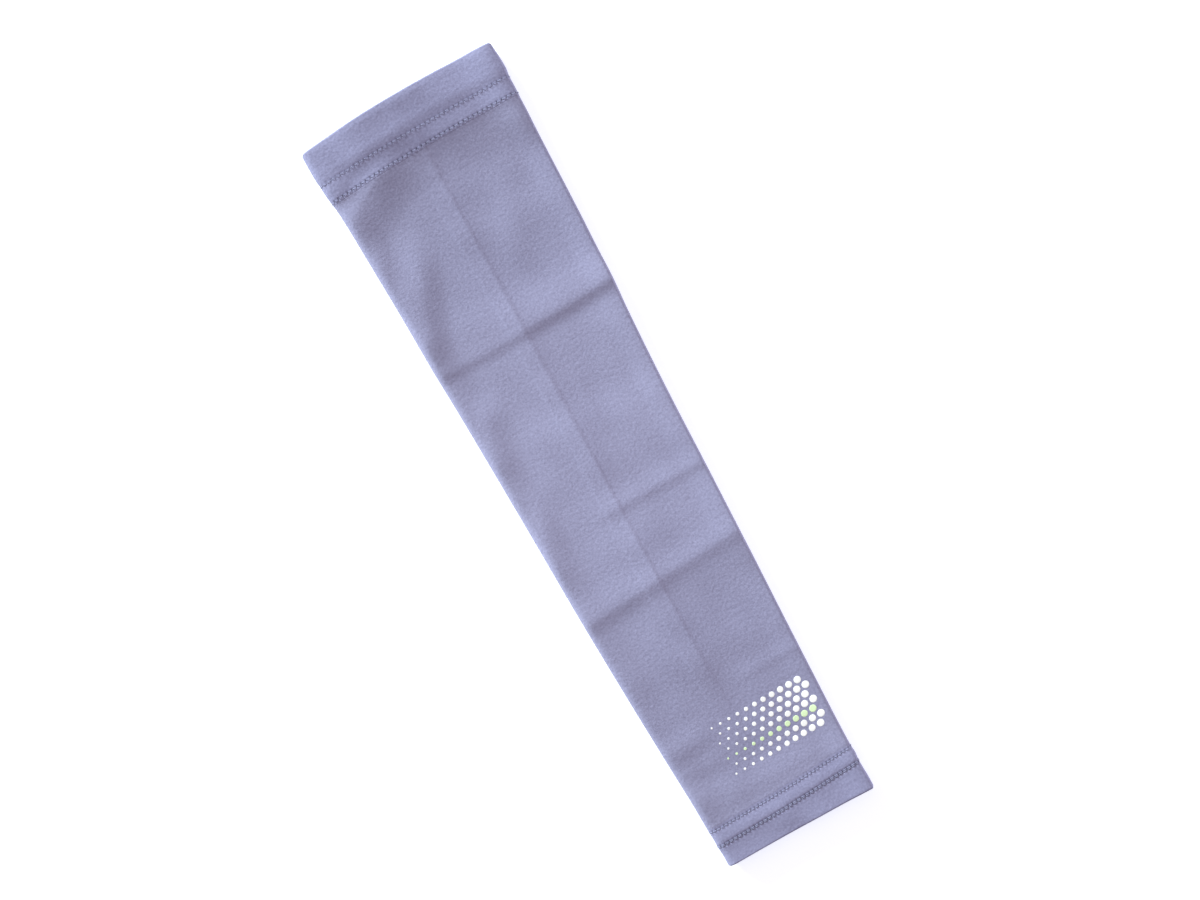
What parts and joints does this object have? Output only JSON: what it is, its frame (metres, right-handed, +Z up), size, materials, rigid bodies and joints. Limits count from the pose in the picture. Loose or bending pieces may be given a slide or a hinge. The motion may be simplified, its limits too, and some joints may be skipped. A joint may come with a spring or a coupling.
{
  "type": "arm sleeve",
  "caption": "Tapered arm sleeve of stretch knit lying flat, open at both ends, with a turned-in, stitched hem at the upper arm and at the wrist.",
  "frame": {"origin": "centre of the flat underside's box, on the surface that the sleeve lies on", "axes": "+Y along the sleeve towards the upper arm, +X to the right seen from above, +Z up off the surface"},
  "size_m": [0.1064, 0.4014, 0.0111],
  "materials": {
    "knit": "fine stretch knit, matt, slate violet"
  },
  "bodies": {
    "root": {"sleeve_body": "knit", "upper_hem": "knit", "wrist_hem": "knit"}
  },
  "joints": []
}
